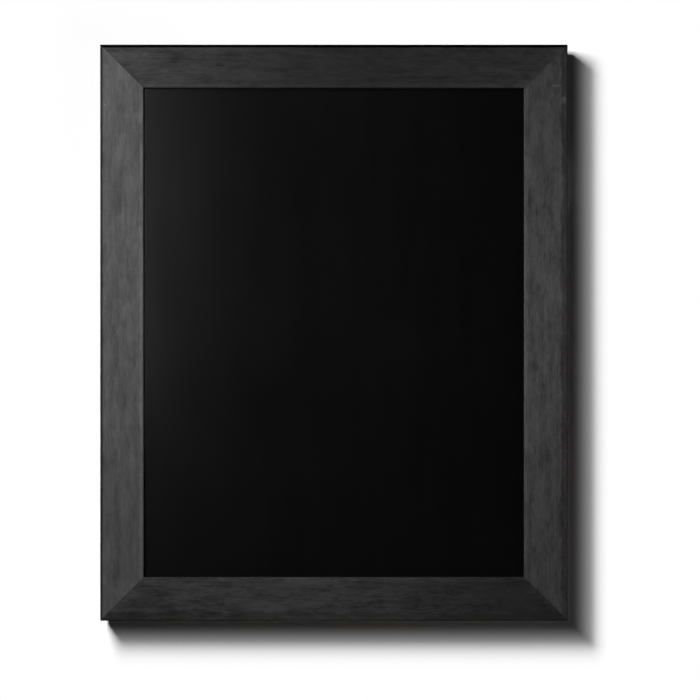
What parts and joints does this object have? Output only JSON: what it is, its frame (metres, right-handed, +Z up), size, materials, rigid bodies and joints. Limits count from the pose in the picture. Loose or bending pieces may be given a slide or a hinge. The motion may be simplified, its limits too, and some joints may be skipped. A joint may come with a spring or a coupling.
{
  "type": "chalkboard",
  "caption": "Portrait wall chalkboard: a flat mitred wooden frame round a recessed matt writing panel, hung by swinging D rings on strap hangers, with rubber bumpers behind.",
  "frame": {"origin": "on the wall's surface, midway between the two wall hooks, at the height where they carry the hanger rings", "axes": "+X to the right as seen from the front, +Y from the writing face into the wall, +Z up"},
  "size_m": [0.43, 0.023, 0.53],
  "materials": {
    "stained_wood": "black stain, open grain, low sheen",
    "chalk_sheet": "matt black writing surface",
    "hardboard": "pressed brown fibre",
    "spring_steel": "satin, zinc plated",
    "nail_steel": "plain, dull",
    "zinc_steel": "bright zinc plate",
    "screw_steel": "bright zinc plate",
    "bumper_rubber": "matt moulded"
  },
  "bodies": {
    "board": {"top_rail": "stained_wood", "right_stile": "stained_wood", "bottom_rail": "stained_wood", "left_stile": "stained_wood", "writing_sheet": "chalk_sheet", "hardboard_core": "hardboard", "framing_tab_top_1": "spring_steel", "framing_tab_top_2": "spring_steel", "framing_tab_top_3": "spring_steel", "framing_tab_top_4": "spring_steel", "framing_tab_right_1": "spring_steel", "framing_tab_right_2": "spring_steel", "framing_tab_right_3": "spring_steel", "framing_tab_right_4": "spring_steel", "framing_tab_right_5": "spring_steel", "framing_tab_bottom_1": "spring_steel", "framing_tab_bottom_2": "spring_steel", "framing_tab_bottom_3": "spring_steel", "framing_tab_bottom_4": "spring_steel", "framing_tab_left_1": "spring_steel", "framing_tab_left_2": "spring_steel", "framing_tab_left_3": "spring_steel", "framing_tab_left_4": "spring_steel", "framing_tab_left_5": "spring_steel", "v_nail_top_left_outer": "nail_steel", "v_nail_top_left_inner": "nail_steel", "v_nail_top_right_outer": "nail_steel", "v_nail_top_right_inner": "nail_steel", "v_nail_bottom_right_outer": "nail_steel", "v_nail_bottom_right_inner": "nail_steel", "v_nail_bottom_left_outer": "nail_steel", "v_nail_bottom_left_inner": "nail_steel", "hanger_strap_left": "zinc_steel", "hanger_strap_right": "zinc_steel", "hanger_screw_left_upper": "screw_steel", "hanger_screw_left_lower": "screw_steel", "hanger_screw_right_upper": "screw_steel", "hanger_screw_right_lower": "screw_steel", "wall_bumper_top_left": "bumper_rubber", "wall_bumper_top_right": "bumper_rubber", "wall_bumper_bottom_right": "bumper_rubber", "wall_bumper_bottom_left": "bumper_rubber"},
    "left_ring": {"hanger_ring_left": "zinc_steel"},
    "right_ring": {"hanger_ring_right": "zinc_steel"}
  },
  "joints": [
    {"name": "left_ring_swing", "type": "hinge", "parent": "board", "child": "left_ring", "pos_m": [-0.199, -0.0026, -0.0143], "axis": [-1, 0, 0], "range_deg": [-4, 176]},
    {"name": "right_ring_swing", "type": "hinge", "parent": "board", "child": "right_ring", "pos_m": [0.199, -0.0026, -0.0143], "axis": [-1, 0, 0], "range_deg": [-4, 176]}
  ]
}
